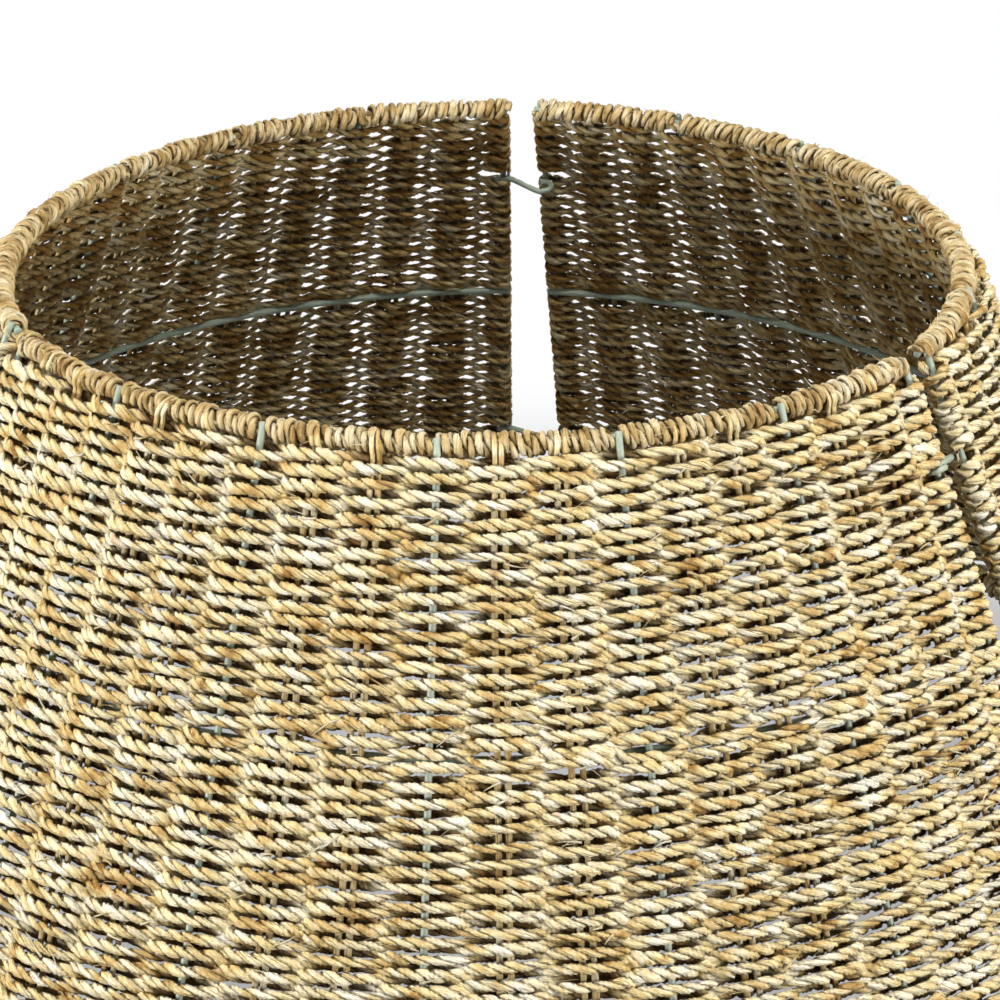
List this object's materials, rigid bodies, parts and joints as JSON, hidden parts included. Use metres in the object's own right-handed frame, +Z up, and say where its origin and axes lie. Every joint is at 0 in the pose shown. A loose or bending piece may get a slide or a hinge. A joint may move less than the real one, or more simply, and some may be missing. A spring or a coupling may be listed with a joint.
{
  "type": "tree collar",
  "caption": "Flared ring of woven seagrass panels on wire frames, hooked edge to edge, that stands round a tree stand and hides it.",
  "frame": {"origin": "on the floor, at the centre of the collar's bounding box, about 2 mm from the ring's own axis", "axes": "+Z up; -Y towards the front panel's middle; +X to the right seen from the front"},
  "size_m": [0.7542, 0.7562, 0.3],
  "materials": {
    "frame_wire": "grey-green powder coat, satin, a little uneven over the welds",
    "seagrass_weave": "two-ply twisted seagrass cord, dry and matt, straw to brown",
    "seagrass_binding": "single seagrass strand wound tight, dry and matt"
  },
  "bodies": {
    "front_panel": {"front_rim_hoop": "frame_wire", "front_mid_hoop": "frame_wire", "front_base_hoop": "frame_wire", "front_stake_1": "frame_wire", "front_stake_2": "frame_wire", "front_stake_3": "frame_wire", "front_stake_4": "frame_wire", "front_stake_5": "frame_wire", "front_stake_6": "frame_wire", "front_stake_7": "frame_wire", "front_hook_upper": "frame_wire", "front_hook_lower": "frame_wire", "front_weave": "seagrass_weave", "front_rim_wrap": "seagrass_binding", "front_base_wrap": "seagrass_binding"},
    "right_panel": {"right_rim_hoop": "frame_wire", "right_mid_hoop": "frame_wire", "right_base_hoop": "frame_wire", "right_stake_1": "frame_wire", "right_stake_2": "frame_wire", "right_stake_3": "frame_wire", "right_stake_4": "frame_wire", "right_stake_5": "frame_wire", "right_stake_6": "frame_wire", "right_stake_7": "frame_wire", "right_hook_upper": "frame_wire", "right_hook_lower": "frame_wire", "right_weave": "seagrass_weave", "right_rim_wrap": "seagrass_binding", "right_base_wrap": "seagrass_binding"},
    "left_panel": {"left_rim_hoop": "frame_wire", "left_mid_hoop": "frame_wire", "left_base_hoop": "frame_wire", "left_stake_1": "frame_wire", "left_stake_2": "frame_wire", "left_stake_3": "frame_wire", "left_stake_4": "frame_wire", "left_stake_5": "frame_wire", "left_stake_6": "frame_wire", "left_stake_7": "frame_wire", "left_hook_upper": "frame_wire", "left_hook_lower": "frame_wire", "left_weave": "seagrass_weave", "left_rim_wrap": "seagrass_binding", "left_base_wrap": "seagrass_binding"}
  },
  "joints": [
    {"name": "right_panel_swing", "type": "hinge", "parent": "front_panel", "child": "right_panel", "pos_m": [0.26551, -0.17361, 0.15051], "axis": [0.3191, -0.2193, -0.922], "range_deg": [0, 90]},
    {"name": "left_panel_swing", "type": "hinge", "parent": "front_panel", "child": "left_panel", "pos_m": [-0.28123, -0.14638, 0.15051], "axis": [0.3495, 0.1667, 0.922], "range_deg": [0, 90]}
  ]
}
